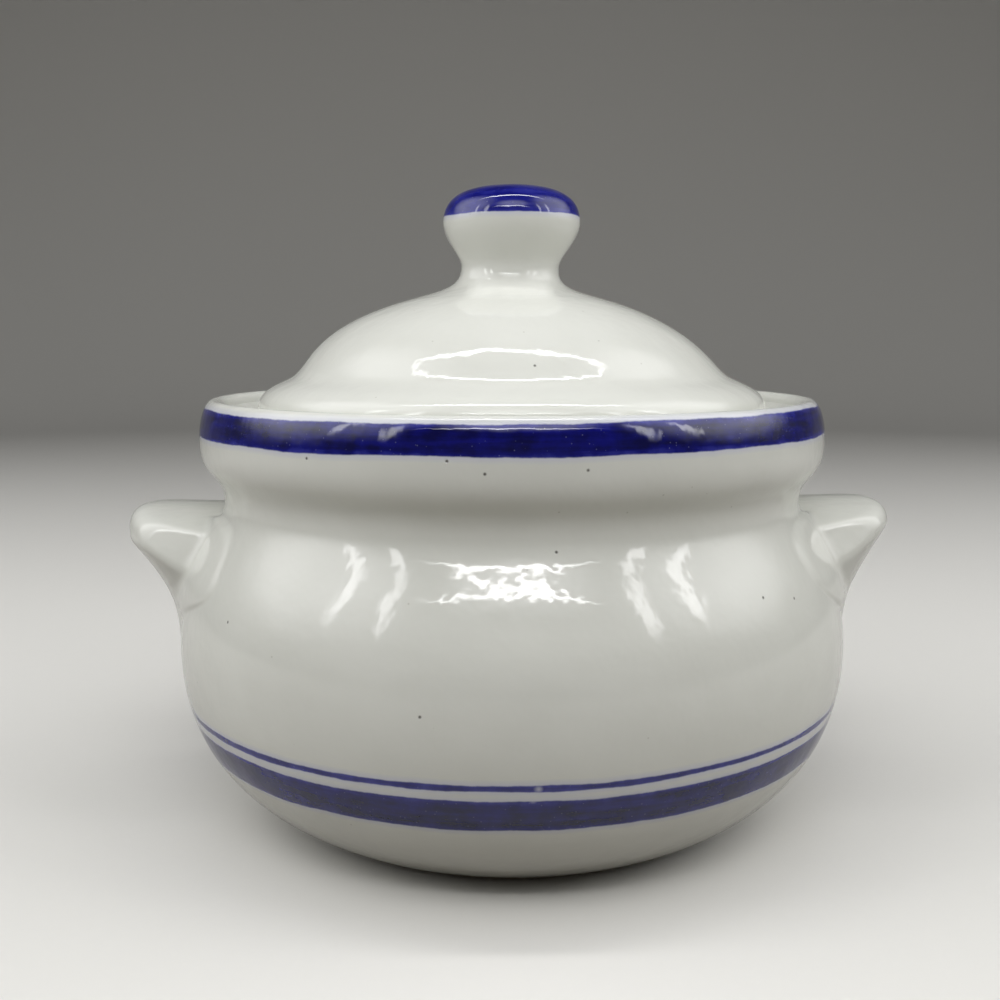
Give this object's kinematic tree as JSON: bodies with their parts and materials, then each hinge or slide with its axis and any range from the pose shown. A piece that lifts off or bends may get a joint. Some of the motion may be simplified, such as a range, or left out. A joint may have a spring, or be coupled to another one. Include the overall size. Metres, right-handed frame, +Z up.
{
  "type": "lidded crock",
  "caption": "Round-bellied glazed stoneware crock with a rolled collar, wedge lug ears and a domed lid with a waisted knob; cobalt bands on a pale grey glaze.",
  "frame": {"origin": "centre of the foot ring, on the surface the crock stands on", "axes": "+Z up along the pot's turning axis, +X through the right lug, -Y towards the viewer of the front"},
  "size_m": [0.1876, 0.162, 0.1516],
  "materials": {
    "pale_glaze": "glossy",
    "knob_glaze": "glossy"
  },
  "bodies": {
    "pot": {"crock_body": "pale_glaze", "left_lug": "pale_glaze", "right_lug": "pale_glaze"},
    "lid_with_knob": {"lid": "pale_glaze", "lid_knob": "knob_glaze"}
  },
  "joints": [
    {"name": "lid_lift", "type": "slide", "parent": "pot", "child": "lid_with_knob", "axis": [0, 0, 1], "range_m": [0, 0.08]}
  ]
}
